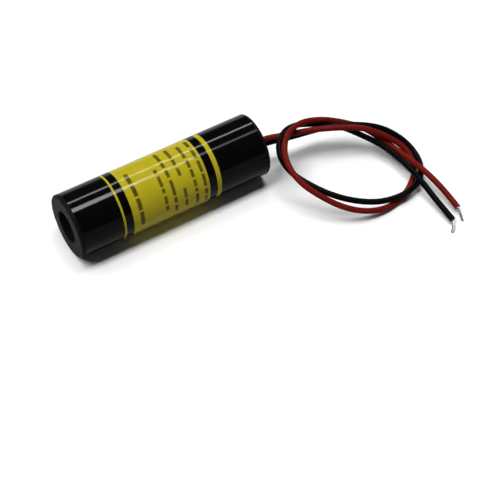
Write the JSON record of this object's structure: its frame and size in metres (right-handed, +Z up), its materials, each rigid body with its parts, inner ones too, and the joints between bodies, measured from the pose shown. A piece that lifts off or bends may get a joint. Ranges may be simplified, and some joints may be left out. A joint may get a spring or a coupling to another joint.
{
  "type": "laser diode module",
  "caption": "Round laser diode module with a beam aperture in its front face, a banded label round its barrel and red and black wire leads with stripped ends at its rear.",
  "frame": {"origin": "under the middle of the barrel, on the surface it lies on", "axes": "+X along the barrel's axis, the way the beam leaves; +Z up; the wire loop lies to +Y behind the barrel"},
  "size_m": [0.077, 0.0453, 0.014],
  "materials": {
    "barrel_black": "black anodised, satin",
    "label_film": "gloss film, black with yellow bands",
    "brass_parts": "machined",
    "lens_glass": "polished",
    "spring_steel": "drawn wire",
    "diode_metal": "gold plated",
    "cap_metal": "nickel plated",
    "die": "bare chip and its carrier",
    "board": "glass-fibre board, green mask",
    "package_black": "moulded",
    "leg_tin": "tinned",
    "tantalum": "moulded",
    "trimmer_blue": "moulded",
    "rotor_metal": "nickel plated",
    "capacitor_body": "ceramic",
    "solder": "solder",
    "red_pvc": "soft insulation, satin",
    "black_pvc": "soft insulation, satin",
    "tinned_copper": "tinned copper strands"
  },
  "bodies": {
    "root": {"housing_barrel": "barrel_black", "label_wrap": "label_film", "lens_cell": "brass_parts", "lens_ring": "brass_parts", "diode_mount": "brass_parts", "diode_clamp_ring": "brass_parts", "collimating_lens": "lens_glass", "diode_window": "lens_glass", "lead_seals": "lens_glass", "focus_spring": "spring_steel", "diode_header": "diode_metal", "diode_leads": "diode_metal", "chip_post": "diode_metal", "diode_cap": "cap_metal", "chip_submount": "die", "laser_chip": "die", "monitor_photodiode": "die", "driver_board": "board", "driver_ic": "package_black", "pass_transistor": "package_black", "polarity_diode": "package_black", "rear_plug": "package_black", "chip_resistors": "package_black", "ic_legs": "leg_tin", "transistor_tab": "leg_tin", "tantalum_capacitor": "tantalum", "trimmer_body": "trimmer_blue", "trimmer_rotor": "rotor_metal", "chip_capacitors": "capacitor_body", "lead_joints": "solder", "wire_joints": "solder", "red_wire": "red_pvc", "black_wire": "black_pvc", "red_wire_core": "tinned_copper", "black_wire_core": "tinned_copper"}
  },
  "joints": []
}
